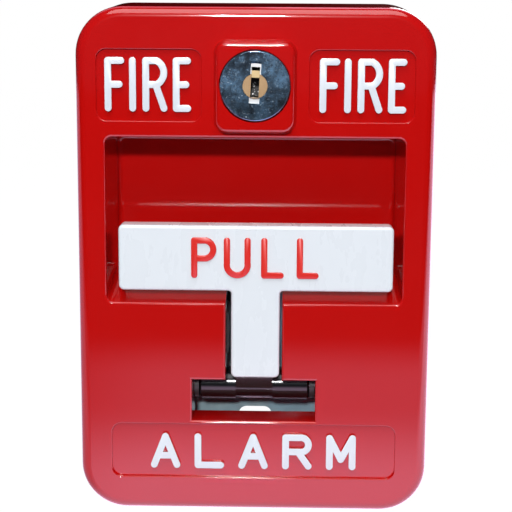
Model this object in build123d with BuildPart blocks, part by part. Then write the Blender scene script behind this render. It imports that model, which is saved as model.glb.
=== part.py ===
from build123d import *
from math import asin, cos, degrees, radians, sin, tan
import os

# Manual call point: a pull station on a wall plate.
# The wall is the plane Y = 0, the front looks along -Y, +X is to the right and +Z is up.
# Z = 0 is the middle of the cover's height. "u" is the distance from the wall, so Y = -u.

# ---------------------------------------------------------------- driving sizes, mm and degrees
cover_height = 120.65
cover_width = 84.1
cover_corner = 12.0
cover_wall = 2.2
face_u = 22.9
face_wall = 2.5
cover_draft = 3.0
front_round = 2.4
rim_relief = 1.0

recess_half_width = 34.35
recess_bottom_z = -8.7
recess_top_z = 29.83
recess_depth = 18.5
recess_floor_slope = 17.0
recess_wall = 2.0
recess_round = 1.6
recess_back_round = 1.1

slot_half_width = 6.6
slot_rib = 2.0
slot_rib_depth = 3.4

window_half_width = 14.5
window_top_z = -27.18
window_bottom_z = -37.05
window_depth = 8.5
window_wall = 2.0
window_top_depth = 4.4

pivot_u = 12.4
pivot_z = -30.45
pivot_pin_radius = 1.5
running_gap = 0.05
lug_width = 3.0
lug_radius = 4.0

barrel_radius = 4.0
barrel_core_radius = 2.5
barrel_half_length = 13.2
pull_angle = 45.0

panel_depth = 0.8
panel_round = 0.2
mouth_round = 0.6
panel_corner = 2.3
fire_panel_x = (12.25, 36.1)
fire_panel_z = (33.5, 49.7)
name_panel_half_width = 33.5
name_panel_z = (-51.0, -37.9)

lock_z = 41.7
boss_half_width = 9.45
boss_z = (30.7, 52.0)
boss_proud = 3.3
boss_corner = 3.2
boss_round = 0.8
boss_draft = 12.5
lock_face_radius = 7.95
lock_face_gap = 0.2
lock_barrel_radius = 6.0
lock_plug_radius = 5.0
lock_seat_depth = 2.2
lock_tilt = 3.0
key_slot_width = 2.4
key_slot_height = 9.4

handle_shift = 0.35
bar_half_width = 31.76
bar_z = (-5.6, 9.7)
stem_half_width = 5.65
stem_bottom_z = -26.3
handle_u = 18.7
handle_thickness = 5.0
bar_corner = 1.2
bar_inner_corner = 0.8
handle_round = 0.7
handle_shell = 1.6

letter_rise = 0.9
letter_stroke = 1.6
fire_z = (35.6, 47.9)
alarm_z = (-48.8, -40.2)
pull_letter_rise = 0.45
pull_letter_stroke = 1.45

plate_thickness = 1.5
plate_half_width = 38.6
plate_bottom_z = -54.0
plate_corner = 9.0
box_spacing_z = 83.3
gang_spacing_x = 46.04
gang_hole_radius = 2.3
gang_slot = (8.3, 4.0)
strike_half_width = 9.0
strike_z = 55.4
strike_lip_z = 52.7
strike_gap = 0.6

hinge_u = 4.0
hinge_z = -58.0
hinge_pin_radius = 1.0
knuckle_radius = 2.1
ear_x = 20.0
ear_width = 1.5
knuckle_inner = 8.0
knuckle_outer = 2.8
hinge_side_gap = 0.3

switch_x = (-36.5, -6.2)
switch_z = (-22.6, -12.0)
switch_u = 15.0
switch_wall = 1.6
lid_thickness = 1.0
plunger_x = -10.5
plunger_radius = 2.0
plunger_gap = 0.35
plunger_travel = 1.6
blade_pivot_x = -33.0
blade_thickness = 0.4
blade_width = 4.0
terminal_x = (-33.0, -25.0, -17.5)

# ---------------------------------------------------------------- sizes worked out from those above
face_inner_u = face_u - face_wall
recess_back_u = face_u - recess_depth
recess_back_bottom_z = recess_bottom_z + recess_depth * tan(radians(recess_floor_slope))
recess_draft_step = recess_depth * tan(radians(cover_draft))
boss_u = face_u + boss_proud
lock_seat_u = boss_u - lock_seat_depth
bar_face_u = handle_u + handle_thickness
plate_top_z = strike_z + plate_thickness
cam_rise = plunger_travel / radians(pull_angle)
lobe_radius = barrel_radius + 0.4
plunger_tip_z = pivot_z + lobe_radius + plunger_gap
bore_radius = pivot_pin_radius + running_gap


# ---------------------------------------------------------------- helpers
def depth(u):
    """Plane parallel to the wall at distance u, its normal out of the wall."""
    return Plane.XZ.offset(u)


def side(x):
    """Plane across the object at x; sketch points on it are (-u, z)."""
    return Plane.YZ.offset(x)


def block(x_span, z_span, u_span, corner=0.0, taper=0.0, mode=Mode.ADD):
    """Upright block with optional rounded corners, drawn at u_span[0] and extruded forward."""
    width = x_span[1] - x_span[0]
    height = z_span[1] - z_span[0]
    with BuildSketch(depth(u_span[0])) as outline:
        with Locations(((x_span[0] + x_span[1]) / 2, (z_span[0] + z_span[1]) / 2)):
            if corner > 0:
                RectangleRounded(width, height, corner)
            else:
                Rectangle(width, height)
    extrude(outline.sketch, amount=u_span[1] - u_span[0], taper=taper, mode=mode)


def disc(x, z, radius, u_span, mode=Mode.ADD):
    """Round piece whose axis points out of the wall."""
    with BuildSketch(depth(u_span[0])) as outline:
        with Locations((x, z)):
            Circle(radius)
    extrude(outline.sketch, amount=u_span[1] - u_span[0], mode=mode)


def rod(u, z, radius, x_span, mode=Mode.ADD):
    """Round piece whose axis lies along X."""
    with BuildSketch(side(x_span[0])) as outline:
        with Locations((-u, z)):
            Circle(radius)
    extrude(outline.sketch, amount=x_span[1] - x_span[0], mode=mode)


def screw(x, z, seat_u, head_radius, head_height, shank_radius, shank_length, back=False):
    """Slotted pan-head screw; its head is in front of seat_u, or behind it where back is true."""
    away = -1 if back else 1
    head = sorted((seat_u, seat_u + away * head_height))
    shank = sorted((seat_u, seat_u - away * shank_length))
    disc(x, z, head_radius, head)
    disc(x, z, shank_radius, shank)
    groove = sorted((seat_u + away * head_height, seat_u + away * head_height * 0.55))
    block(
        (x - head_radius, x + head_radius),
        (z - head_radius * 0.16, z + head_radius * 0.16),
        groove,
        mode=Mode.SUBTRACT,
    )


def publish(piece, name):
    """Name a finished piece and write it."""
    piece.part.label = name
    export_step(piece.part, f"parts/{name}.step")


# Plain block letters as strokes in a unit box: two points are a straight stroke, three an arc.
GLYPHS = {
    "A": [((0, 0), (0.5, 1)), ((0.5, 1), (1, 0)), ((0.2, 0.33), (0.8, 0.33))],
    "E": [((0, 0), (0, 1)), ((0, 1), (1, 1)), ((0, 0.5), (0.85, 0.5)), ((0, 0), (1, 0))],
    "F": [((0, 0), (0, 1)), ((0, 1), (1, 1)), ((0, 0.5), (0.85, 0.5))],
    "I": [((0, 0), (0, 1))],
    "L": [((0, 1), (0, 0)), ((0, 0), (1, 0))],
    "M": [((0, 0), (0, 1)), ((0, 1), (0.5, 0.25)), ((0.5, 0.25), (1, 1)), ((1, 1), (1, 0))],
    "P": [((0, 0), (0, 1)), ((0, 1), (0.6, 1)), ((0.6, 1), (1, 0.74), (0.6, 0.48)), ((0.6, 0.48), (0, 0.48))],
    "R": [
        ((0, 0), (0, 1)),
        ((0, 1), (0.6, 1)),
        ((0.6, 1), (1, 0.75), (0.6, 0.5)),
        ((0.6, 0.5), (0, 0.5)),
        ((0.55, 0.5), (1, 0)),
    ],
    "U": [((0, 1), (0, 0.35)), ((0, 0.35), (0.5, 0), (1, 0.35)), ((1, 0.35), (1, 1))],
}


def raised_letters(letters, z_span, seat_u, rise, stroke):
    """Raised word: letters is a list of (letter, left edge, right edge)."""
    half = stroke / 2
    low = z_span[0] + half
    high = z_span[1] - half
    for letter, left, right in letters:
        x0 = left + half
        x1 = right - half
        with BuildSketch(depth(seat_u)) as outline:
            for points in GLYPHS[letter]:
                placed = [(x0 + (x1 - x0) * a, low + (high - low) * b) for a, b in points]
                with BuildLine():
                    if len(placed) == 3:
                        ThreePointArc(*placed)
                    else:
                        Line(*placed)
                trace(line_width=stroke)
                with Locations(placed[0], placed[-1]):
                    Circle(half)
        extrude(outline.sketch, amount=rise)


os.makedirs("parts", exist_ok=True)

# ---------------------------------------------------------------- front cover
# The finger recess is a drafted pocket whose floor climbs towards the back.
with BuildPart() as recess_space:
    with BuildSketch(depth(face_u)) as recess_mouth:
        with Locations((0, (recess_bottom_z + recess_top_z) / 2)):
            RectangleRounded(2 * recess_half_width, recess_top_z - recess_bottom_z, recess_round)
    with BuildSketch(depth(recess_back_u)) as recess_end:
        with Locations((0, (recess_back_bottom_z + recess_top_z - recess_draft_step) / 2)):
            RectangleRounded(
                2 * (recess_half_width - recess_draft_step),
                recess_top_z - recess_draft_step - recess_back_bottom_z,
                recess_round,
            )
    loft()
    fillet(recess_space.faces().sort_by(Axis.Y)[-1].edges(), recess_back_round)

with BuildPart() as recess_shell:
    with BuildSketch(depth(face_inner_u + 0.5)) as shell_mouth:
        with Locations((0, (recess_bottom_z + recess_top_z) / 2)):
            RectangleRounded(
                2 * (recess_half_width + recess_wall),
                recess_top_z - recess_bottom_z + 2 * recess_wall,
                recess_round + recess_wall,
            )
    with BuildSketch(depth(recess_back_u - recess_wall)) as shell_end:
        with Locations((0, (recess_back_bottom_z + recess_top_z - recess_draft_step) / 2)):
            RectangleRounded(
                2 * (recess_half_width - recess_draft_step + recess_wall),
                recess_top_z - recess_draft_step - recess_back_bottom_z + 2 * recess_wall,
                recess_round + recess_wall,
            )
    loft()

spring_post_x = (slot_half_width, slot_half_width + 6.0)
spring_post_z = (-21.0, -11.0)
spring_post_u = pivot_u - barrel_radius - 0.2
spring_screw_z = (spring_post_z[0] + spring_post_z[1]) / 2
spring_x = (spring_post_x[0] + spring_post_x[1]) / 2
spring_thickness = 0.5
spring_screw_radius = 1.25
lug_z = (window_bottom_z - window_wall, window_top_z + window_wall)

with BuildPart() as front_cover:
    with BuildSketch(depth(0)):
        RectangleRounded(cover_width, cover_height, cover_corner)
    extrude(amount=face_u, taper=cover_draft)
    fillet(front_cover.faces().sort_by(Axis.Y)[0].edges(), front_round)
    with BuildSketch(depth(0)):
        RectangleRounded(
            cover_width - 2 * cover_wall,
            cover_height - 2 * cover_wall,
            cover_corner - cover_wall,
        )
    extrude(amount=face_inner_u, taper=cover_draft, mode=Mode.SUBTRACT)
    # finger recess
    add(recess_shell.part)
    # ribs beside the handle slot
    for hand in (-1, 1):
        rib = sorted((hand * slot_half_width, hand * (slot_half_width + slot_rib)))
        block(rib, (window_top_z, recess_bottom_z), (face_inner_u - slot_rib_depth, face_inner_u))
    # window frame and the two lugs that hold the pivot pin
    frame_x = window_half_width + window_wall
    block((-frame_x, frame_x), lug_z, (face_u - window_depth, face_inner_u))
    for hand in (-1, 1):
        lug_x = sorted((hand * window_half_width, hand * (window_half_width + lug_width)))
        block(lug_x, lug_z, (pivot_u, face_inner_u))
        rod(pivot_u, pivot_z, lug_radius, lug_x)
    # post of the detent spring
    block(spring_post_x, spring_post_z, (spring_post_u, face_inner_u))
    # hinge knuckles, inside the bottom wall
    for hand in (-1, 1):
        inner = sorted((hand * (ear_x - hinge_side_gap - knuckle_inner), hand * (ear_x - hinge_side_gap)))
        outer_start = ear_x + ear_width + hinge_side_gap
        outer = sorted((hand * outer_start, hand * (outer_start + knuckle_outer)))
        for span in (inner, outer):
            rod(hinge_u, hinge_z, knuckle_radius, span)
    # lock boss
    block((-boss_half_width, boss_half_width), boss_z, (face_u - 0.1, boss_u), boss_corner, boss_draft)
    fillet(front_cover.faces().sort_by(Axis.Y)[0].edges(), boss_round)
    # openings
    add(recess_space.part, mode=Mode.SUBTRACT)
    block(
        (-slot_half_width, slot_half_width),
        (window_top_z - 1, recess_back_bottom_z),
        (0, face_u + 1),
        mode=Mode.SUBTRACT,
    )
    block(
        (-window_half_width, window_half_width),
        (window_bottom_z, window_top_z),
        (0, face_u + 1),
        mode=Mode.SUBTRACT,
    )
    block(
        (-window_half_width, window_half_width),
        (window_bottom_z - 1, window_top_z + window_wall + 1),
        (0, face_u - window_top_depth),
        mode=Mode.SUBTRACT,
    )
    block(
        (-window_half_width, window_half_width),
        (window_bottom_z - window_wall, window_bottom_z),
        (face_u - window_depth, face_inner_u),
    )
    # eased edges round the recess, the slot and the window
    face = front_cover.faces().filter_by(Plane.XZ).filter_by_position(Axis.Y, -face_u - 0.01, -face_u + 0.01)
    mouth = face.edges().filter_by_position(Axis.Z, window_bottom_z - 0.3, recess_top_z + 0.3)
    fillet(mouth.filter_by_position(Axis.X, -recess_half_width - 0.3, recess_half_width + 0.3), mouth_round)
    # sunk panels
    for hand in (-1, 1):
        panel = sorted((hand * fire_panel_x[0], hand * fire_panel_x[1]))
        block(panel, fire_panel_z, (face_u - panel_depth, face_u + 1), panel_corner, mode=Mode.SUBTRACT)
    block(
        (-name_panel_half_width, name_panel_half_width),
        name_panel_z,
        (face_u - panel_depth, face_u + 1),
        panel_corner,
        mode=Mode.SUBTRACT,
    )
    face = front_cover.faces().filter_by(Plane.XZ).filter_by_position(Axis.Y, -face_u - 0.01, -face_u + 0.01)
    fire_rims = face.edges().filter_by_position(Axis.Z, fire_panel_z[0] - 0.1, fire_panel_z[1] + 0.1)
    for low, high in ((-fire_panel_x[1], -fire_panel_x[0]), fire_panel_x):
        fillet(fire_rims.filter_by_position(Axis.X, low - 0.1, high + 0.1), panel_round)
    name_rim = face.edges().filter_by_position(Axis.Z, name_panel_z[0] - 0.1, name_panel_z[1] + 0.1)
    name_panel_reach = name_panel_half_width + 0.1
    fillet(name_rim.filter_by_position(Axis.X, -name_panel_reach, name_panel_reach), panel_round)
    # lock seat and lock hole
    disc(0, lock_z, lock_face_radius + lock_face_gap, (lock_seat_u, boss_u + 1), Mode.SUBTRACT)
    disc(0, lock_z, lock_barrel_radius + running_gap, (0, boss_u), Mode.SUBTRACT)
    # bores
    rod(pivot_u, pivot_z, bore_radius, (-cover_width / 3, cover_width / 3), Mode.SUBTRACT)
    disc(
        spring_x,
        spring_screw_z,
        spring_screw_radius + running_gap,
        (spring_post_u, spring_post_u + 6.0),
        Mode.SUBTRACT,
    )
    hinge_reach = ear_x + ear_width + hinge_side_gap + knuckle_outer
    for hand in (-1, 1):
        pin_span = sorted((hand * (ear_x - hinge_side_gap - knuckle_inner), hand * hinge_reach))
        rod(hinge_u, hinge_z, hinge_pin_radius + running_gap, pin_span, Mode.SUBTRACT)
        notch = sorted((hand * (ear_x - hinge_side_gap), hand * (ear_x + ear_width + hinge_side_gap)))
        notch_z = (-cover_height / 2, hinge_z + knuckle_radius + 0.6)
        block(notch, notch_z, (0, hinge_u + 2.6), mode=Mode.SUBTRACT)
    # the bottom rim stays off the wall so that the cover can swing down
    block((-cover_width, cover_width), (-cover_height, hinge_z + 0.5), (0, rim_relief), mode=Mode.SUBTRACT)
publish(front_cover, "front_cover")

# ---------------------------------------------------------------- raised letters on the cover
panel_u = face_u - panel_depth
fire_right = [("F", 14.5, 19.1), ("I", 20.1, 21.7), ("R", 23.1, 28.8), ("E", 30.0, 34.2)]
fire_width = fire_right[0][1] + fire_right[-1][2]
fire_left = [(letter, left - fire_width, right - fire_width) for letter, left, right in fire_right]

with BuildPart() as fire_letters_left:
    raised_letters(fire_left, fire_z, panel_u, letter_rise, letter_stroke)
publish(fire_letters_left, "fire_letters_left")

with BuildPart() as fire_letters_right:
    raised_letters(fire_right, fire_z, panel_u, letter_rise, letter_stroke)
publish(fire_letters_right, "fire_letters_right")

alarm_width = 7.0
alarm_pitch = 10.4
alarm_text = []
for index, letter in enumerate("ALARM"):
    alarm_left = (index - 2) * alarm_pitch - alarm_width / 2
    alarm_text.append((letter, alarm_left, alarm_left + alarm_width))
with BuildPart() as alarm_letters:
    raised_letters(alarm_text, alarm_z, panel_u, letter_rise, letter_stroke)
publish(alarm_letters, "alarm_letters")

# ---------------------------------------------------------------- lock
flange_thickness = 0.6
flange_front_u = lock_seat_u + flange_thickness
face_back_u = flange_front_u + 0.1
face_front_u = boss_u - 0.3
shell_back_u = 9.5
cam_thickness = 1.5
cam_u = (shell_back_u - 0.1 - cam_thickness, shell_back_u - 0.1)
cam_square = 3.0
cam_length = strike_z - lock_z - strike_gap
cam_half_width = 4.0
cam_hub_radius = 5.5
cam_tip_round = 1.5
cam_screw_radius = 1.35
nut_height = 3.4
washer_height = 0.8
washer_radius = 8.2
nut_across = 15.0

with BuildPart() as lock_shell:
    disc(0, lock_z, lock_face_radius, (lock_seat_u, flange_front_u))
    disc(0, lock_z, lock_barrel_radius, (shell_back_u, lock_seat_u))
    disc(0, lock_z, lock_plug_radius + running_gap, (0, flange_front_u), Mode.SUBTRACT)
publish(lock_shell, "lock_shell")

with BuildPart() as lock_washer:
    with BuildSketch(depth(face_inner_u - washer_height)):
        with Locations((0, lock_z)):
            Circle(washer_radius)
            with PolarLocations(washer_radius, 12):
                Rectangle(1.0, 1.2, mode=Mode.SUBTRACT)
            Circle(lock_barrel_radius + running_gap, mode=Mode.SUBTRACT)
    extrude(amount=washer_height)
publish(lock_washer, "lock_washer")

with BuildPart() as lock_nut:
    with BuildSketch(depth(face_inner_u - washer_height - nut_height)):
        with Locations((0, lock_z)):
            RegularPolygon(nut_across / 2, 6, major_radius=False)
            Circle(lock_barrel_radius + running_gap, mode=Mode.SUBTRACT)
    extrude(amount=nut_height)
publish(lock_nut, "lock_nut")

nose_radius = 2.8
keyway_width = 1.9
keyway_height = 6.8
keyway_z = lock_z + 0.8
with BuildPart() as lock_face:
    disc(0, lock_z, lock_face_radius, (face_back_u, face_front_u))
    fillet(lock_face.faces().sort_by(Axis.Y)[0].edges(), 0.35)
    disc(0, lock_z, nose_radius + running_gap, (face_back_u, face_front_u), Mode.SUBTRACT)
    with BuildSketch(depth(face_back_u)):
        with Locations((0, keyway_z)):
            Rectangle(key_slot_width, key_slot_height, rotation=-lock_tilt)
    extrude(amount=face_front_u - face_back_u, mode=Mode.SUBTRACT)
publish(lock_face, "lock_face")

with BuildPart() as lock_plug:
    disc(0, lock_z, lock_plug_radius, (shell_back_u, face_back_u - running_gap))
    disc(0, lock_z, nose_radius, (shell_back_u, face_front_u - 0.4))
    block((-cam_square, cam_square), (lock_z - cam_square, lock_z + cam_square), (cam_u[0], shell_back_u))
    disc(0, lock_z, cam_screw_radius + running_gap, (cam_u[0], cam_u[0] + 6.0), Mode.SUBTRACT)
    with BuildSketch(depth(shell_back_u + 3.0)):
        with Locations((0, keyway_z)):
            Rectangle(keyway_width, keyway_height, rotation=-lock_tilt)
    extrude(amount=face_front_u, mode=Mode.SUBTRACT)
publish(lock_plug, "lock_plug")

wafer_heights = (1.8, -2.3, 0.4, -1.2, 2.2)
wafer_pitch = 2.3
wafer_window = 1.6
wafer_thickness = 0.9
with BuildPart() as lock_wafers:
    for index, height in enumerate(wafer_heights):
        wafer_u = face_back_u - 1.2 - index * wafer_pitch
        with BuildSketch(depth(wafer_u)):
            with Locations((height * sin(radians(lock_tilt)), keyway_z + height)):
                Rectangle(keyway_width - 2 * running_gap, wafer_window, rotation=-lock_tilt)
        extrude(amount=wafer_thickness)
publish(lock_wafers, "lock_wafers")

with BuildPart() as lock_cam:
    disc(0, lock_z, cam_hub_radius, cam_u)
    block((-cam_length, 0), (lock_z - cam_half_width, lock_z + cam_half_width), cam_u)
    cam_tip_edges = lock_cam.edges().filter_by(Axis.Y).group_by(Axis.X)[0]
    fillet(cam_tip_edges, cam_tip_round)
    square = cam_square + running_gap
    block((-square, square), (lock_z - square, lock_z + square), cam_u, mode=Mode.SUBTRACT)
publish(lock_cam, "lock_cam")

with BuildPart() as cam_screw:
    screw(0, lock_z, cam_u[0], 4.0, 1.8, cam_screw_radius, 5.5, back=True)
publish(cam_screw, "cam_screw")

# ---------------------------------------------------------------- handle
bracket_z = (-24.0, 3.0)
bracket_screw_z = (-18.0, -2.0)
bracket_screw_radius = 1.2
bracket_head_radius = 2.5
bracket_head_height = 1.4
with BuildPart() as t_handle:
    with BuildSketch(depth(handle_u)):
        with Locations((handle_shift, (bar_z[0] + bar_z[1]) / 2)):
            Rectangle(2 * bar_half_width, bar_z[1] - bar_z[0])
        with Locations((handle_shift, (stem_bottom_z + bar_z[0]) / 2)):
            Rectangle(2 * stem_half_width, bar_z[0] - stem_bottom_z + 0.001)
    extrude(amount=handle_thickness)
    upright = t_handle.edges().filter_by(Axis.Y)
    inner = upright.filter_by_position(Axis.X, -bar_half_width / 2, bar_half_width / 2)
    inner = inner.filter_by_position(Axis.Z, bar_z[0] - 0.5, bar_z[0] + 0.5)
    fillet(inner, bar_inner_corner)
    outer = t_handle.edges().filter_by(Axis.Y).filter_by(GeomType.LINE)
    outer_bar = outer.group_by(Axis.X)[0] + outer.group_by(Axis.X)[-1] + outer.group_by(Axis.Z)[0]
    fillet(outer_bar, bar_corner)
    fillet(t_handle.faces().sort_by(Axis.Y)[0].edges(), handle_round)
    # the bar is moulded hollow from behind, on both sides of a solid middle
    for hand in (-1, 1):
        pocket = sorted((hand * (stem_half_width + handle_shell), hand * (bar_half_width - handle_shell)))
        pocket = (pocket[0] + handle_shift, pocket[1] + handle_shift)
        block(
            pocket,
            (bar_z[0] + handle_shell, bar_z[1] - handle_shell),
            (handle_u, bar_face_u - handle_shell),
            0.8,
            mode=Mode.SUBTRACT,
        )
    for height in bracket_screw_z:
        disc(handle_shift, height, bracket_screw_radius, (handle_u, handle_u + 3.2), Mode.SUBTRACT)
publish(t_handle, "t_handle")

pull_z = (-2.5, 7.0)
pull_text = [("P", -14.55, -8.7), ("U", -7.0, -0.8), ("L", 1.6, 6.85), ("L", 9.8, 14.9)]
with BuildPart() as pull_letters:
    raised_letters(pull_text, pull_z, bar_face_u, pull_letter_rise, pull_letter_stroke)
publish(pull_letters, "pull_letters")

bracket_half_width = 4.4
bracket_thickness = 2.0
bracket_back_u = handle_u - bracket_thickness
foot_radius = 3.6
with BuildPart() as handle_bracket:
    block((-bracket_half_width, bracket_half_width), bracket_z, (bracket_back_u, handle_u))
    with BuildSketch(side(-bracket_half_width)):
        with BuildLine():
            Polyline(
                (-handle_u, bracket_z[0]),
                (-handle_u, bracket_screw_z[0]),
                (-bracket_back_u, bracket_screw_z[0]),
                (-(pivot_u - foot_radius * 0.6), pivot_z + foot_radius * 0.8),
                (-pivot_u, pivot_z),
                (-(pivot_u + foot_radius * 0.8), pivot_z - foot_radius * 0.6),
                (-handle_u, bracket_z[0]),
            )
        make_face()
        with Locations((-pivot_u, pivot_z)):
            Circle(foot_radius)
    extrude(amount=2 * bracket_half_width)
    rod(pivot_u, pivot_z, barrel_core_radius + running_gap, (-5, 5), Mode.SUBTRACT)
    for height in bracket_screw_z:
        disc(handle_shift, height, bracket_screw_radius + 0.25, (0, handle_u), Mode.SUBTRACT)
        disc(handle_shift, height, bracket_head_radius + 0.2, (0, bracket_back_u), Mode.SUBTRACT)
publish(handle_bracket, "handle_bracket")

with BuildPart() as bracket_screws:
    for height in bracket_screw_z:
        screw(
            handle_shift,
            height,
            bracket_back_u,
            bracket_head_radius,
            bracket_head_height,
            bracket_screw_radius,
            5.0,
            back=True,
        )
publish(bracket_screws, "bracket_screws")

lobe_x = (plunger_x - 2.2, plunger_x + 2.2)
flat_angle = 180 + pull_angle
with BuildPart() as pivot_barrel:
    rod(pivot_u, pivot_z, barrel_radius, (-barrel_half_length, barrel_half_length))
    for end in (0, -1):
        chamfer(pivot_barrel.faces().sort_by(Axis.X)[end].edges(), 0.5)
    # middle neck that the bracket's foot is pressed round
    with BuildSketch(side(-bracket_half_width)):
        with Locations((-pivot_u, pivot_z)):
            Circle(barrel_radius + 1)
            Circle(barrel_core_radius, mode=Mode.SUBTRACT)
    extrude(amount=2 * bracket_half_width, mode=Mode.SUBTRACT)
    # cam lobe: its radius grows evenly through the pull angle behind the top
    with BuildSketch(side(lobe_x[0])):
        with BuildLine():
            steps = 9
            rising = []
            for step in range(steps + 1):
                angle = radians(90 + pull_angle * step / steps)
                radius = lobe_radius + plunger_travel * step / steps
                rising.append((-pivot_u + -radius * cos(angle), pivot_z + radius * sin(angle)))
            rise_curve = Spline(*rising)
            Line(rise_curve @ 1, (-pivot_u, pivot_z))
            front = radians(90 - pull_angle)
            start = (-pivot_u - lobe_radius * cos(front), pivot_z + lobe_radius * sin(front))
            Line((-pivot_u, pivot_z), start)
            CenterArc((-pivot_u, pivot_z), lobe_radius, 90, pull_angle)
        make_face()
    extrude(amount=lobe_x[1] - lobe_x[0])
    # flat that faces the detent spring when the handle is down
    with BuildSketch(side(spring_post_x[0])):
        flat_reach = barrel_radius * 1.375
        flat_middle = radians(flat_angle)
        flat_place = (-pivot_u - flat_reach * cos(flat_middle), pivot_z + flat_reach * sin(flat_middle))
        with Locations(flat_place):
            Rectangle(barrel_radius, 2 * barrel_radius, rotation=-flat_angle)
    extrude(amount=barrel_half_length, mode=Mode.SUBTRACT)
    rod(pivot_u, pivot_z, bore_radius, (-barrel_half_length, barrel_half_length), Mode.SUBTRACT)
publish(pivot_barrel, "pivot_barrel")

with BuildPart() as pivot_washers:
    for hand in (-1, 1):
        span = sorted((hand * (barrel_half_length + 0.1), hand * (window_half_width - 0.1)))
        rod(pivot_u, pivot_z, barrel_radius - 0.3, span)
    rod(pivot_u, pivot_z, bore_radius, (-window_half_width, window_half_width), Mode.SUBTRACT)
publish(pivot_washers, "pivot_washers")

pin_end = window_half_width + lug_width + 1.6
clip_radius = 3.0
clip_thickness = 0.7
with BuildPart() as pivot_pin:
    rod(pivot_u, pivot_z, pivot_pin_radius, (-pin_end, pin_end))
    for end in (0, -1):
        chamfer(pivot_pin.faces().sort_by(Axis.X)[end].edges(), 0.3)
publish(pivot_pin, "pivot_pin")

with BuildPart() as pivot_clips:
    for hand in (-1, 1):
        start = window_half_width + lug_width + 0.2
        rod(pivot_u, pivot_z, clip_radius, sorted((hand * start, hand * (start + clip_thickness))))
    rod(pivot_u, pivot_z, pivot_pin_radius + running_gap, (-pin_end, pin_end), Mode.SUBTRACT)
    block((-pin_end, pin_end), (pivot_z - 4, pivot_z), (pivot_u - 1.1, pivot_u + 1.1), mode=Mode.SUBTRACT)
publish(pivot_clips, "pivot_clips")

with BuildPart() as detent_spring:
    block(
        (spring_post_x[0] + 0.5, spring_post_x[1] - 0.5),
        (pivot_z - 3.0, spring_post_z[1] - 0.5),
        (spring_post_u - spring_thickness, spring_post_u),
    )
    disc(spring_x, spring_screw_z, spring_screw_radius + 0.2, (0, spring_post_u), Mode.SUBTRACT)
publish(detent_spring, "detent_spring")

with BuildPart() as detent_screw:
    spring_front = spring_post_u - spring_thickness
    screw(spring_x, spring_screw_z, spring_front, 2.3, 1.6, spring_screw_radius, 5.5, back=True)
publish(detent_screw, "detent_screw")

# ---------------------------------------------------------------- cover hinge pins
with BuildPart() as hinge_pins:
    for hand in (-1, 1):
        span = sorted((hand * (ear_x - hinge_side_gap - knuckle_inner + 0.5), hand * (hinge_reach - 0.1)))
        rod(hinge_u, hinge_z, hinge_pin_radius, span)
publish(hinge_pins, "hinge_pins")

# ---------------------------------------------------------------- back plate
strike_lip_u = cam_u[1] + strike_gap
wire_opening_x = (9.5, 30.0)
wire_opening_z = (-32.0, -8.0)
ground_x = 27.0
ground_z = -38.5
ground_shank = 1.75
switch_screw_radius = 1.15
switch_screw_x = (switch_x[0] + 6.5, switch_x[1] - 5.5)
switch_screw_z = switch_z[1] + 2.4
with BuildPart() as back_plate:
    plate_x = (-plate_half_width, plate_half_width)
    block(plate_x, (plate_bottom_z, plate_top_z), (0, plate_thickness), plate_corner)
    # strike flange and its lip, behind which the lock cam turns
    strike_x = (-strike_half_width, strike_half_width)
    block(strike_x, (strike_z, plate_top_z), (0, strike_lip_u + plate_thickness))
    block(strike_x, (strike_lip_z, plate_top_z), (strike_lip_u, strike_lip_u + plate_thickness))
    # hinge ears
    for hand in (-1, 1):
        ear = sorted((hand * ear_x, hand * (ear_x + ear_width)))
        rod(hinge_u, hinge_z, knuckle_radius, ear)
        with BuildSketch(side(ear[0])):
            with BuildLine():
                Polyline(
                    (0, plate_bottom_z + 2),
                    (0, plate_bottom_z - 1),
                    (-hinge_u, hinge_z - knuckle_radius),
                    (-hinge_u - knuckle_radius, hinge_z),
                    (-plate_thickness, plate_bottom_z + 2),
                    (0, plate_bottom_z + 2),
                )
            make_face()
        extrude(amount=ear_width)
    rod(hinge_u, hinge_z, hinge_pin_radius + running_gap, (-ear_x - 3, ear_x + 3), Mode.SUBTRACT)
    # box-screw slots, gang holes and wire opening
    with BuildSketch(depth(0)):
        with Locations((0, box_spacing_z / 2), (0, -box_spacing_z / 2)):
            SlotOverall(gang_slot[0], gang_slot[1])
        with GridLocations(gang_spacing_x, box_spacing_z, 2, 2):
            Circle(gang_hole_radius)
    extrude(amount=plate_thickness, mode=Mode.SUBTRACT)
    block(wire_opening_x, wire_opening_z, (0, plate_thickness), 3.0, mode=Mode.SUBTRACT)
    for x in switch_screw_x:
        disc(x, switch_screw_z, switch_screw_radius + running_gap, (0, plate_thickness), Mode.SUBTRACT)
    disc(ground_x, ground_z, ground_shank, (0, plate_thickness), Mode.SUBTRACT)
publish(back_plate, "back_plate")

with BuildPart() as ground_screw:
    with BuildSketch(depth(plate_thickness)):
        with Locations((ground_x, ground_z)):
            RegularPolygon(3.4, 6, major_radius=False)
    extrude(amount=2.4)
    disc(ground_x, ground_z, ground_shank, (0, plate_thickness))
    block((ground_x - 4, ground_x + 4), (ground_z - 0.5, ground_z + 0.5), (3.0, 4.0), mode=Mode.SUBTRACT)
publish(ground_screw, "ground_screw")

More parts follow.
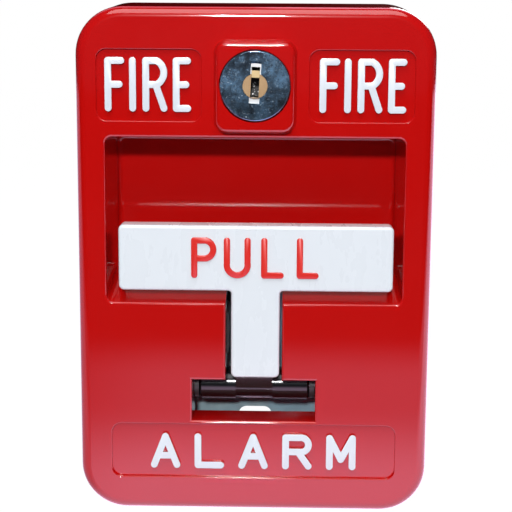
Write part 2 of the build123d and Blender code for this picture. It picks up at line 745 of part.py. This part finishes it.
# ---------------------------------------------------------------- switch
cavity_x = (switch_x[0] + switch_wall, switch_x[1] - switch_wall)
cavity_z = (switch_z[0] + switch_wall, switch_z[1] - switch_wall)
cavity_back_u = 4.0
flange_u = 3.5
lid_front_u = switch_u + lid_thickness
blade_bottom_z = cavity_z[0] + 1.6
blade_top_z = blade_bottom_z + blade_thickness
blade_middle_z = blade_bottom_z + blade_thickness / 2
rivet_radius = 1.0
blade_roll_radius = 0.5
blade_end_x = plunger_x + 1.5
leg_width = 2.4
leg_height = 0.8
blade_turn = degrees(asin(plunger_travel / (plunger_x - blade_pivot_x)))
rivet_height = 0.3
rivet_lift = (terminal_x[2] - blade_pivot_x + leg_width / 2) * sin(radians(blade_turn))
leg_z = {
    "com_terminal": blade_middle_z - blade_roll_radius - 0.1 - leg_height,
    "nc_terminal": blade_bottom_z - 0.1 - leg_height,
    "no_terminal": blade_top_z + rivet_height + rivet_lift + 0.15,
}
terminal_shank = 1.0
terminal_screw_z = switch_z[1] - 3.0
terminals = dict(zip(("com_terminal", "nc_terminal", "no_terminal"), terminal_x))

with BuildPart() as switch_base:
    block(switch_x, switch_z, (plate_thickness, switch_u))
    fillet(switch_base.edges().filter_by(Axis.Y), 0.8)
    block(switch_x, (switch_z[1] - 1, switch_z[1] + 4.6), (plate_thickness, flange_u))
    block(cavity_x, cavity_z, (cavity_back_u, switch_u), mode=Mode.SUBTRACT)
    with BuildSketch(Plane.XY.offset(switch_z[0])):
        with Locations((plunger_x, -pivot_u)):
            Circle(plunger_radius + running_gap)
    extrude(amount=switch_wall, mode=Mode.SUBTRACT)
    for x in switch_screw_x:
        disc(x, switch_screw_z, switch_screw_radius + 0.35, (0, flange_u), Mode.SUBTRACT)
publish(switch_base, "switch_base")

with BuildPart() as switch_lid:
    block(switch_x, switch_z, (switch_u, lid_front_u), 0.8)
    for name, x in terminals.items():
        half = leg_width / 2 + 0.1
        low = leg_z[name] - 0.1
        block(
            (x - half, x + half),
            (low, low + leg_height + 0.2),
            (switch_u, lid_front_u),
            mode=Mode.SUBTRACT,
        )
        disc(x, terminal_screw_z, terminal_shank + running_gap, (switch_u, lid_front_u), Mode.SUBTRACT)
publish(switch_lid, "switch_lid")

terminal_plate_z = (switch_z[0] + 1.2, switch_z[1] - 1.2)
terminal_thickness = 0.8
for name, x in terminals.items():
    with BuildPart() as terminal:
        block((x - 3.0, x + 3.0), terminal_plate_z, (lid_front_u, lid_front_u + terminal_thickness), 0.5)
        leg_span = (leg_z[name], leg_z[name] + leg_height)
        block((x - leg_width / 2, x + leg_width / 2), leg_span, (pivot_u - 1.5, lid_front_u + 0.1))
        disc(x, terminal_screw_z, terminal_shank + running_gap, (0, lid_front_u + 1), Mode.SUBTRACT)
    publish(terminal, name)

with BuildPart() as terminal_screws:
    for x in terminal_x:
        screw(
            x,
            terminal_screw_z,
            lid_front_u + terminal_thickness,
            2.0,
            1.6,
            terminal_shank,
            terminal_thickness + lid_thickness,
        )
publish(terminal_screws, "terminal_screws")

with BuildPart() as switch_screws:
    for x in switch_screw_x:
        screw(x, switch_screw_z, flange_u, 2.1, 1.4, switch_screw_radius, flange_u)
publish(switch_screws, "switch_screws")

flange_radius = 2.45
with BuildPart() as switch_plunger:
    with BuildSketch(Plane.XZ.offset(pivot_u)):
        with BuildLine():
            low = plunger_tip_z
            Polyline(
                (plunger_x, low),
                (plunger_x, blade_bottom_z - 0.2),
                (plunger_x + plunger_radius, blade_bottom_z - 0.2),
                (plunger_x + plunger_radius, blade_bottom_z - 0.6),
                (plunger_x + flange_radius, blade_bottom_z - 0.6),
                (plunger_x + flange_radius, cavity_z[0] + 0.1),
                (plunger_x + plunger_radius, cavity_z[0] + 0.1),
                (plunger_x + plunger_radius, low + plunger_radius),
            )
            CenterArc((plunger_x, low + plunger_radius), plunger_radius, -90, 90)
        make_face()
    revolve(axis=Axis((plunger_x, -pivot_u, 0), (0, 0, 1)))
publish(switch_plunger, "switch_plunger")

with BuildPart() as contact_blade:
    block(
        (blade_pivot_x, blade_end_x),
        (blade_bottom_z, blade_top_z),
        (pivot_u - blade_width / 2, pivot_u + blade_width / 2),
    )
    with BuildSketch(depth(pivot_u - blade_width / 2)):
        with Locations((blade_pivot_x, blade_middle_z)):
            Circle(blade_roll_radius)
    extrude(amount=blade_width)
publish(contact_blade, "contact_blade")

with BuildPart() as blade_contact:
    with BuildSketch(Plane.XY.offset(blade_top_z)):
        with Locations((terminal_x[2], -pivot_u)):
            Circle(rivet_radius)
    extrude(amount=rivet_height)
publish(blade_contact, "blade_contact")
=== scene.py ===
from math import cos, radians, sin

import bpy
from mathutils import Matrix, Vector


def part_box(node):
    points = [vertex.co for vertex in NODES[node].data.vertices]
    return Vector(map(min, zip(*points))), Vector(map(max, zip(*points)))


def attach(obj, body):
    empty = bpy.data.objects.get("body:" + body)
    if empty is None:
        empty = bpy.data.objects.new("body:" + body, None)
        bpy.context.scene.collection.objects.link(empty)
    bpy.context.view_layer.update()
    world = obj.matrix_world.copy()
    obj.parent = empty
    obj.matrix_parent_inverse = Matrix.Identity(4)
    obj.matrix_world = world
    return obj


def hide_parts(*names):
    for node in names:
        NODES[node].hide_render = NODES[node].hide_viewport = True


# A manual call point on its wall plate, in metres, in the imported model's own frame:
# the wall is the plane y = 0, the front looks along -y, and z = 0 is the cover's middle.
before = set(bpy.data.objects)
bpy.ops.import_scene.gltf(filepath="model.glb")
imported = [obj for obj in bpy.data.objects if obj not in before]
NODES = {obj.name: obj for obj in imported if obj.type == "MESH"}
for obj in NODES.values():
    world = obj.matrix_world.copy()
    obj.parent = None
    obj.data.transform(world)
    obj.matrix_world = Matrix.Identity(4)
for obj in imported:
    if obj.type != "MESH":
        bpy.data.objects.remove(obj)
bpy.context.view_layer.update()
bpy.ops.object.select_all(action="DESELECT")

MM = 0.001
MICRON = 0.000001


# ---------------------------------------------------------------- shader kit
class Wire:
    """A shader socket that takes part in sums."""

    def __init__(self, recipe, socket):
        self.recipe = recipe
        self.socket = socket

    def math(self, operation, first, second):
        return self.recipe.add("ShaderNodeMath", {"operation": operation}, {0: first, 1: second})

    def __add__(self, other):
        return self.math("ADD", self, other)

    def __radd__(self, other):
        return self.math("ADD", self, other)

    def __sub__(self, other):
        return self.math("SUBTRACT", self, other)

    def __rsub__(self, other):
        return self.math("SUBTRACT", other, self)

    def __mul__(self, other):
        return self.math("MULTIPLY", self, other)

    def __rmul__(self, other):
        return self.math("MULTIPLY", self, other)

    def between(self, low, high):
        """low where this value is 0, high where it is 1."""
        return self * (high - low) + low

    def clamped(self):
        """This value, held between 0 and 1."""
        settings = {"operation": "ADD", "use_clamp": True}
        return self.recipe.add("ShaderNodeMath", settings, {0: self, 1: 0.0})


class Recipe:
    """One material's node tree, built by add()."""

    def __init__(self, name):
        self.material = bpy.data.materials.new(name)
        self.material.use_nodes = True
        self.tree = self.material.node_tree
        self.tree.nodes.clear()
        self.output = self.tree.nodes.new("ShaderNodeOutputMaterial")

    def add(self, kind, settings=None, values=None, out=0):
        """Adds a node: its settings first, then the values or links of its sockets."""
        node = self.tree.nodes.new(kind)
        for key, value in (settings or {}).items():
            if key == "stops":
                set_stops(node.color_ramp, value)
            else:
                setattr(node, key, value)
        for key, value in (values or {}).items():
            if isinstance(value, Wire):
                self.tree.links.new(value.socket, node.inputs[key])
            else:
                node.inputs[key].default_value = value
        return Wire(self, node.outputs[out])

    def place(self):
        return self.add("ShaderNodeTexCoord", out="Object")

    def along(self, axis):
        """The place along one axis, "X", "Y" or "Z", in metres."""
        return self.add("ShaderNodeSeparateXYZ", {}, {"Vector": self.place()}, out=axis)

    def noise(self, scale, detail=3.0, rough=0.5, stretch=None):
        """Soft clouds, about scale of them to a metre; stretch is a scale for each axis."""
        vector = self.place()
        if stretch:
            vector = self.add("ShaderNodeMapping", {}, {"Vector": vector, "Scale": stretch})
        values = {"Vector": vector, "Scale": scale, "Detail": detail, "Roughness": rough}
        return self.add("ShaderNodeTexNoise", {}, values)

    def ramp(self, value, stops):
        return self.add("ShaderNodeValToRGB", {"stops": stops}, {"Fac": value})

    def band(self, value, low, high):
        """0 below low, 1 above high, a smooth step between."""
        values = {"Value": value, "From Min": low, "From Max": high}
        return self.add("ShaderNodeMapRange", {"interpolation_type": "SMOOTHSTEP"}, values)

    def mix(self, share, first, second):
        """The first colour where share is 0, the second where it is 1."""
        values = {0: share, 6: first, 7: second}
        return self.add("ShaderNodeMix", {"data_type": "RGBA"}, values, out=2)

    def bump(self, height, depth, strength):
        """Relief in the surface, depth metres from its lowest point to its highest."""
        values = {"Height": height, "Distance": depth, "Strength": strength}
        return self.add("ShaderNodeBump", {}, values)

    def show(self, shader):
        """Puts a shader on the surface and hands the material back."""
        self.tree.links.new(shader.socket, self.output.inputs["Surface"])
        return self.material

    def finish(self, values):
        return self.show(self.add("ShaderNodeBsdfPrincipled", {}, values))


def set_stops(ramp, stops):
    """Gives a new colour ramp its stops, each a position and a colour."""
    ramp.elements.remove(ramp.elements[1])
    ramp.elements[0].position, ramp.elements[0].color = stops[0]
    for position, colour in stops[1:]:
        ramp.elements.new(position).color = colour


def rgb(red, green, blue):
    return (red, green, blue, 1.0)


# ---------------------------------------------------------------- finishes
def red_enamel():
    """Wet-looking red enamel over a die casting: orange peel, fine dust, faint rub marks."""
    made = Recipe("red_enamel")
    cloud = made.noise(28.0, detail=4.0, rough=0.55)
    colour = made.mix(cloud, rgb(0.535, 0.0040, 0.0032), rgb(0.495, 0.0032, 0.0027))
    dust = made.band(made.noise(2600.0, detail=2.0, rough=0.6), 0.70, 0.80)
    patch = made.band(made.noise(60.0, detail=2.0), 0.50, 0.75)
    colour = made.mix(dust * patch * 0.18, colour, rgb(0.55, 0.10, 0.09))
    rub = made.band(made.noise(75.0, detail=5.0, rough=0.65), 0.35, 0.80)
    peel = made.noise(620.0, detail=2.0)
    wave = made.noise(110.0, detail=2.0)
    return made.finish({
        "Base Color": colour,
        "Roughness": rub.between(0.20, 0.27),
        "Normal": made.bump(peel + wave * 1.4, 9.0 * MICRON, 0.5),
        "Specular IOR Level": 0.06,
        "Coat Weight": 1.0,
        "Coat Roughness": 0.05,
        "Coat IOR": 1.58,
    })


def lettering(name, top, edge, front_y):
    """Raised letters whose faces are rolled with ink and whose sides keep the colour below."""
    made = Recipe(name)
    ragged = (made.noise(900.0, rough=0.6) - 0.5) * (0.12 * MM)
    height = -1.0 * made.along("Y") + ragged
    inked = made.band(height, -front_y - 0.10 * MM, -front_y - 0.04 * MM)
    thin = made.band(made.noise(700.0, detail=4.0, rough=0.65), 0.62, 0.85) * 0.22
    grain = made.noise(1500.0, rough=0.6)
    return made.finish({
        "Base Color": made.mix(inked * (1.0 - thin), edge, top),
        "Roughness": grain.between(0.26, 0.38),
        "Normal": made.bump(grain, 10.0 * MICRON, 0.6),
        "Coat Weight": 0.35,
        "Coat Roughness": 0.15,
    })


def white_enamel():
    """Cool white enamel on the handle, with finger marks and a trace of grey grime."""
    made = Recipe("white_enamel")
    cloud = made.noise(35.0, detail=4.0, rough=0.6)
    colour = made.mix(cloud, rgb(0.81, 0.855, 0.90), rgb(0.78, 0.825, 0.875))
    grime = made.band(made.noise(260.0, detail=6.0, rough=0.7), 0.64, 0.84)
    colour = made.mix(grime * 0.05, colour, rgb(0.58, 0.58, 0.57))
    peel = made.noise(700.0, detail=2.0)
    fingers = made.noise(70.0, detail=4.0, rough=0.6, stretch=(3.0, 1.0, 1.0))
    smear = made.band(fingers, 0.35, 0.75)
    return made.finish({
        "Base Color": colour,
        "Roughness": smear.between(0.26, 0.31),
        "Normal": made.bump(peel, 12.0 * MICRON, 0.5),
        "Coat Weight": 0.5,
        "Coat Roughness": 0.10,
    })


def metal(name, light, dark, roughness, grain_scale, stretch=None):
    """Bare or plated metal: its colour wanders between two tones, and grain and smudges
    sit in its roughness."""
    made = Recipe(name)
    cloud = made.noise(30.0, detail=5.0, rough=0.6)
    colour = made.mix(made.band(cloud, 0.30, 0.72), light, dark)
    grain = made.noise(grain_scale, rough=0.6, stretch=stretch)
    smudge = made.band(made.noise(150.0, detail=5.0, rough=0.65), 0.40, 0.75)
    return made.finish({
        "Base Color": colour,
        "Metallic": 1.0,
        "Roughness": grain * 0.08 + smudge * 0.12 + roughness,
        "Normal": made.bump(grain, 6.0 * MICRON, 0.7),
    })


def mirror_chrome(low_z, high_z):
    """Polished chrome with a painted blue-grey cloudy reflection of the room in its colour,
    stronger from low_z to high_z, with pits and bright speckle of dust."""
    made = Recipe("mirror_chrome")
    reflection_rise = made.band(made.along("Z"), low_z, high_z)
    cloud = made.band(made.noise(150.0, detail=6.0, rough=0.72), 0.38, 0.64)
    haze = made.band(made.noise(420.0, detail=5.0, rough=0.75), 0.40, 0.66)
    speckle = made.band(made.noise(2300.0, rough=0.70), 0.56, 0.72)
    # painted reflection: the room's blue-grey reflection is put into the colour as clouds
    painted_room_reflection = made.mix(cloud * 0.6 + haze * 0.4, rgb(0.15, 0.19, 0.24), rgb(0.28, 0.52, 0.80))
    dust = (speckle * (haze * 0.6 + 0.25)).clamped()
    # painted reflection: it shows more towards the top, where the metal is made less metallic;
    # the dust speckle adds to it
    reflection_and_dust = (cloud * 0.28 + haze * 0.16) * reflection_rise.between(0.20, 1.0) + dust * 0.40
    return made.finish({
        "Base Color": made.mix(dust, painted_room_reflection, rgb(0.80, 0.88, 0.94)),
        "Metallic": 0.93 - reflection_and_dust,
        "Roughness": dust * 0.15 + haze * 0.05 + 0.07,
        "Normal": made.bump(cloud + dust * 0.3, 12.0 * MICRON, 0.5),
    })


def plug_brass(shoulder_y):
    """Turned brass nose; the shoulder behind shoulder_y is near-white and hardly metallic,
    bright in the key slot's ends, and further into the keyway the colour is painted dark as
    shade."""
    made = Recipe("plug_brass")
    depth = made.along("Y")
    behind = made.band(depth, shoulder_y - 0.02 * MM, shoulder_y + 0.02 * MM)
    inside = made.band(depth, shoulder_y + 0.25 * MM, shoulder_y + 0.6 * MM)
    cloud = made.noise(420.0, detail=5.0, rough=0.6)
    brass = made.mix(cloud, rgb(0.46, 0.31, 0.17), rgb(0.32, 0.20, 0.10))
    colour = made.mix(behind, brass, rgb(0.90, 0.89, 0.87))
    # painted shade: the keyway is darkened further in
    colour = made.mix(inside, colour, rgb(0.10, 0.085, 0.06))
    turning = made.noise(1500.0, rough=0.6, stretch=(4.0, 0.4, 4.0))
    return made.finish({
        "Base Color": colour,
        "Metallic": behind.between(0.70, 0.20),
        "Roughness": turning.between(0.30, 0.42),
        "Normal": made.bump(turning, 6.0 * MICRON, 0.6),
    })


def wafer_brass(front_y):
    """Stamped brass wafers: the one just inside the slot shows its brass; the deeper ones are
    painted dark grey as shade, with painted white glints."""
    made = Recipe("wafer_brass")
    # painted shade: wafers further from the slot are darkened
    deep_wafer_shade = made.band(made.along("Y"), front_y + 1.0 * MM, front_y + 1.6 * MM)
    cloud = made.noise(500.0, detail=4.0, rough=0.6)
    # painted highlight: small white glints on the shaded wafers
    painted_glint = made.band(made.noise(1400.0, detail=2.0), 0.60, 0.66)
    bright = made.mix(cloud, rgb(0.78, 0.60, 0.32), rgb(0.60, 0.44, 0.22))
    grey = made.mix(painted_glint, rgb(0.055, 0.055, 0.055), rgb(0.75, 0.76, 0.78))
    return made.finish({
        "Base Color": made.mix(deep_wafer_shade, bright, grey),
        "Metallic": 0.55,
        "Roughness": cloud.between(0.25, 0.40),
        "Normal": made.bump(cloud, 10.0 * MICRON, 0.6),
    })


def passivated_zinc():
    """Blue-passivated zinc on sheet steel: pale spangle, rainbow clouds, rolling lines and
    dull specks."""
    made = Recipe("passivated_zinc")
    colour = made.ramp(made.noise(45.0, detail=5.0, rough=0.6), [
        (0.25, rgb(0.34, 0.52, 0.62)),
        (0.45, rgb(0.32, 0.52, 0.62)),
        (0.60, rgb(0.42, 0.58, 0.62)),
        (0.75, rgb(0.52, 0.55, 0.50)),
    ])
    spangle = {"Vector": made.place(), "Scale": 420.0}
    crystals = made.add("ShaderNodeTexVoronoi", {}, spangle, out="Distance")
    lines = made.noise(260.0, rough=0.6, stretch=(0.6, 1.0, 9.0))
    specks = made.band(made.noise(1300.0, detail=2.0, rough=0.6), 0.68, 0.76)
    return made.finish({
        "Base Color": made.mix(specks * 0.35, colour, rgb(0.20, 0.21, 0.21)),
        "Metallic": 0.55,
        "Roughness": crystals * 0.16 + lines * 0.12 + 0.24,
        "Normal": made.bump(lines + crystals * 0.7, 10.0 * MICRON, 0.6),
    })


def moulded(name, light, dark, roughness, texture=900.0, depth=30.0 * MICRON, translucent=0.0):
    """Moulded plastic with a fine spark-eroded texture and slight flow marks."""
    made = Recipe(name)
    flow = made.noise(40.0, detail=4.0, rough=0.6, stretch=(1.0, 1.0, 3.0))
    spark = made.noise(texture, detail=4.0, rough=0.65)
    return made.finish({
        "Base Color": made.mix(made.band(flow, 0.3, 0.7), light, dark),
        "Roughness": spark * 0.18 + roughness,
        "Normal": made.bump(spark, depth, 0.6),
        "Subsurface Weight": translucent,
        "Subsurface Radius": (2.0 * MM, 2.0 * MM, 1.5 * MM),
    })


def coating(name, light, dark, roughness, metallic):
    """Thin dark or dyed coating on steel, rubbed brighter in places."""
    made = Recipe(name)
    cloud = made.noise(120.0, detail=5.0, rough=0.62)
    rubbed = made.band(made.noise(420.0, detail=5.0, rough=0.7), 0.62, 0.80)
    colour = made.mix(cloud, dark, light)
    grain = made.noise(1600.0, rough=0.6, stretch=(0.3, 1.0, 1.0))
    return made.finish({
        "Base Color": made.mix(rubbed * 0.35, colour, rgb(0.30, 0.30, 0.30)),
        "Metallic": metallic,
        "Roughness": grain * 0.12 + rubbed * 0.1 + roughness,
        "Normal": made.bump(grain, 8.0 * MICRON, 0.6),
        "Coat Weight": 0.4,
        "Coat Roughness": 0.12,
    })


face_low, face_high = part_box("lock_face")
fire_front_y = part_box("fire_letters_left")[0].y
pull_front_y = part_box("pull_letters")[0].y
wafer_front_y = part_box("lock_wafers")[0].y

FINISHES = {
    "front_cover": red_enamel(),
    "fire_letters_left": lettering(
        "letter_white",
        top=rgb(0.78, 0.83, 0.90),
        edge=rgb(0.45, 0.004, 0.004),
        front_y=fire_front_y,
    ),
    "t_handle": white_enamel(),
    "pull_letters": lettering(
        "letter_red",
        top=rgb(0.72, 0.016, 0.008),
        edge=rgb(0.45, 0.02, 0.015),
        front_y=pull_front_y,
    ),
    "lock_face": mirror_chrome(face_low.z, face_high.z),
    "lock_plug": plug_brass(face_high.y),
    "lock_wafers": wafer_brass(wafer_front_y),
    "pivot_barrel": coating(
        "black_oxide",
        light=rgb(0.016, 0.018, 0.021),
        dark=rgb(0.008, 0.009, 0.011),
        roughness=0.14,
        metallic=0.5,
    ),
    "back_plate": passivated_zinc(),
    "pivot_pin": metal(
        "bright_zinc",
        light=rgb(0.66, 0.68, 0.70),
        dark=rgb(0.52, 0.54, 0.57),
        roughness=0.18,
        grain_scale=1400.0,
        stretch=(1.0, 4.0, 4.0),
    ),
    "detent_spring": metal(
        "spring_steel",
        light=rgb(0.50, 0.50, 0.50),
        dark=rgb(0.36, 0.36, 0.38),
        roughness=0.22,
        grain_scale=900.0,
        stretch=(5.0, 1.0, 0.5),
    ),
    "contact_blade": metal(
        "phosphor_bronze",
        light=rgb(0.78, 0.50, 0.32),
        dark=rgb(0.62, 0.38, 0.22),
        roughness=0.24,
        grain_scale=900.0,
        stretch=(0.5, 4.0, 1.0),
    ),
    "com_terminal": metal(
        "tinned_brass",
        light=rgb(0.80, 0.66, 0.40),
        dark=rgb(0.66, 0.54, 0.32),
        roughness=0.26,
        grain_scale=1200.0,
    ),
    "blade_contact": metal(
        "silver_contact",
        light=rgb(0.86, 0.86, 0.84),
        dark=rgb(0.70, 0.70, 0.68),
        roughness=0.20,
        grain_scale=2200.0,
    ),
    "pivot_washers": moulded(
        "dark_nylon",
        light=rgb(0.040, 0.040, 0.043),
        dark=rgb(0.026, 0.026, 0.03),
        roughness=0.34,
    ),
    "switch_base": moulded(
        "black_moulding",
        light=rgb(0.022, 0.022, 0.024),
        dark=rgb(0.014, 0.014, 0.016),
        roughness=0.38,
    ),
    "switch_lid": moulded(
        "grey_moulding",
        light=rgb(0.060, 0.062, 0.066),
        dark=rgb(0.045, 0.046, 0.05),
        roughness=0.36,
    ),
    "switch_plunger": moulded(
        "natural_nylon",
        light=rgb(0.74, 0.73, 0.68),
        dark=rgb(0.66, 0.65, 0.60),
        roughness=0.34,
        texture=1200.0,
        depth=10.0 * MICRON,
        translucent=0.3,
    ),
    "ground_screw": coating(
        "green_zinc",
        light=rgb(0.020, 0.26, 0.075),
        dark=rgb(0.012, 0.18, 0.05),
        roughness=0.22,
        metallic=0.75,
    ),
}
SAME_AS = {
    "fire_letters_left": ["fire_letters_right", "alarm_letters"],
    "lock_face": ["lock_shell"],
    "pivot_barrel": ["handle_bracket"],
    "com_terminal": ["no_terminal", "nc_terminal"],
    "pivot_pin": [
        "pivot_clips",
        "hinge_pins",
        "lock_washer",
        "lock_nut",
        "lock_cam",
        "cam_screw",
        "bracket_screws",
        "detent_screw",
        "terminal_screws",
        "switch_screws",
    ],
}
for lead, material in FINISHES.items():
    for name in [lead] + SAME_AS.get(lead, []):
        mesh = NODES[name].data
        mesh.materials.clear()
        mesh.materials.append(material)


# ---------------------------------------------------------------- pieces with rounded edges
WELD_GAP = 0.002 * MM
FLAT_ANGLE = radians(0.8)
EDGE_ANGLE = radians(40)
SMOOTH_ANGLE = radians(35)


def eased(node, body, width):
    """A copy of a CAD piece whose sharp edges are eased, standing in for it."""
    piece = bpy.data.objects.new(node + "_eased", NODES[node].data.copy())
    bpy.context.scene.collection.objects.link(piece)
    bpy.ops.object.select_all(action="DESELECT")
    bpy.context.view_layer.objects.active = piece
    piece.select_set(True)
    bpy.ops.object.mode_set(mode="EDIT")
    bpy.ops.mesh.select_all(action="SELECT")
    bpy.ops.mesh.remove_doubles(threshold=WELD_GAP)
    bpy.ops.mesh.dissolve_limited(angle_limit=FLAT_ANGLE)
    bpy.ops.object.mode_set(mode="OBJECT")
    bevel = piece.modifiers.new("ease", "BEVEL")
    bevel.width = width
    bevel.segments = 2
    bevel.limit_method = "ANGLE"
    bevel.angle_limit = EDGE_ANGLE
    bevel.use_clamp_overlap = True
    bpy.ops.object.modifier_apply(modifier=bevel.name)
    bpy.ops.object.shade_smooth_by_angle(angle=SMOOTH_ANGLE)
    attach(piece, body)
    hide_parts(node)
    piece.select_set(False)


for letters in ("fire_letters_left", "fire_letters_right", "alarm_letters"):
    eased(letters, "cover", 0.14 * MM)
eased("pull_letters", "handle", 0.12 * MM)
eased("lock_cam", "lock", 0.15 * MM)
eased("lock_nut", "cover", 0.20 * MM)


# ---------------------------------------------------------------- floor and backdrop
STAGE_SIZE = 6.0
FLOOR_Z = -0.112  # lower than the opened cover and the pulled handle reach
BACKDROP_Y = 2.9
BACKDROP_Z = 2.85  # its middle, so that its foot is a little below the floor


def stage_white():
    """Paper that glows white where the camera or glass looks at it and keeps a soft shadow.
    In reflections its glow is a painted reflection, tinted pink: dark far out in front, rising
    in two steps towards the object, and dimmer on the left."""
    made = Recipe("stage_white")
    camera_ray = made.add("ShaderNodeLightPath", out="Is Camera Ray")
    glossy_ray = made.add("ShaderNodeLightPath", out="Is Glossy Ray")
    clear_ray = made.add("ShaderNodeLightPath", out="Is Transmission Ray")
    depth = made.along("Y")
    outer_step = made.band(depth, -0.425, -0.335) * 0.33
    inner_step = made.band(depth, -0.29, -0.185) * 0.67
    from_left = made.band(made.along("X"), -0.11, -0.04).between(0.4, 1.0)
    reflected = (outer_step + inner_step) * from_left
    white = (camera_ray + clear_ray).clamped()
    lit = (camera_ray + glossy_ray + clear_ray).clamped()
    # painted reflection: the floor glows pink in glossy reflections, though it is no lamp
    pink_reflection_tint = made.mix(glossy_ray, rgb(1.0, 1.0, 1.0), rgb(1.08, 0.72, 1.0))
    glow = {"Color": pink_reflection_tint, "Strength": white * 1.04 + glossy_ray * reflected * 2.6}
    bright = made.add("ShaderNodeEmission", {}, glow)
    paper = made.add("ShaderNodeBsdfDiffuse", {}, {"Color": rgb(0.30, 0.31, 0.33)})
    return made.show(made.add("ShaderNodeMixShader", {}, {0: lit * 0.96, 1: paper, 2: bright}))


def stage_plane(name, place, turn, material):
    bpy.ops.mesh.primitive_plane_add(size=STAGE_SIZE, location=place, rotation=turn)
    plane = bpy.context.object
    plane.name = name
    plane.data.materials.append(material)


paper_white = stage_white()
stage_plane("floor", (0.0, 0.0, FLOOR_Z), (0.0, 0.0, 0.0), paper_white)
stage_plane("backdrop", (0.0, BACKDROP_Y, BACKDROP_Z), (radians(90), 0.0, 0.0), paper_white)


# ---------------------------------------------------------------- lights
COVER_MIDDLE = Vector((0.0, 0.0, 0.0))


def softbox(name, place, size, power):
    """A round soft lamp, size metres across, aimed at the middle of the cover."""
    lamp = bpy.data.lights.new(name, "AREA")
    lamp.shape = "DISK"
    lamp.size = size
    lamp.energy = power
    holder = bpy.data.objects.new(name, lamp)
    holder.location = place
    aim = COVER_MIDDLE - Vector(place)
    holder.rotation_euler = aim.to_track_quat("-Z", "Y").to_euler()
    bpy.context.scene.collection.objects.link(holder)


softbox("key", (-0.03, -0.92, 0.33), size=0.07, power=6.1)
softbox("overhead", (0.0, -0.42, 0.90), size=0.95, power=7.0)
softbox("rear", (0.35, 0.8, 0.5), size=0.5, power=4.0)

world = bpy.data.worlds.new("studio")
world.use_nodes = True
room_light = world.node_tree.nodes["Background"].inputs
room_light["Color"].default_value = rgb(0.035, 0.045, 0.065)
room_light["Strength"].default_value = 1.0
bpy.context.scene.world = world
bpy.context.scene.view_settings.view_transform = "Standard"


# ---------------------------------------------------------------- camera
# It stands in front, a little to the right of the middle and above, looking slightly down.
camera_place = Vector((6.48, -322.9, 55.44)) * MM
pitch_down = radians(9.99)
yaw = radians(-1.16)
roll = radians(-0.36)
forward = Vector((sin(yaw) * cos(pitch_down), cos(yaw) * cos(pitch_down), -sin(pitch_down)))
level_right = Vector((cos(yaw), -sin(yaw), 0.0))
level_down = forward.cross(level_right)
right = level_right * cos(roll) + level_down * sin(roll)
up = level_right * sin(roll) - level_down * cos(roll)

camera_data = bpy.data.cameras.new("camera")
camera_data.lens = 92.7
camera_data.sensor_width = 36.0
camera_data.clip_start = 10.0 * MM
camera = bpy.data.objects.new("camera", camera_data)
facing = Matrix((right, up, -forward)).transposed()
camera.matrix_world = Matrix.Translation(camera_place) @ facing.to_4x4()
bpy.context.scene.collection.objects.link(camera)
bpy.context.scene.camera = camera
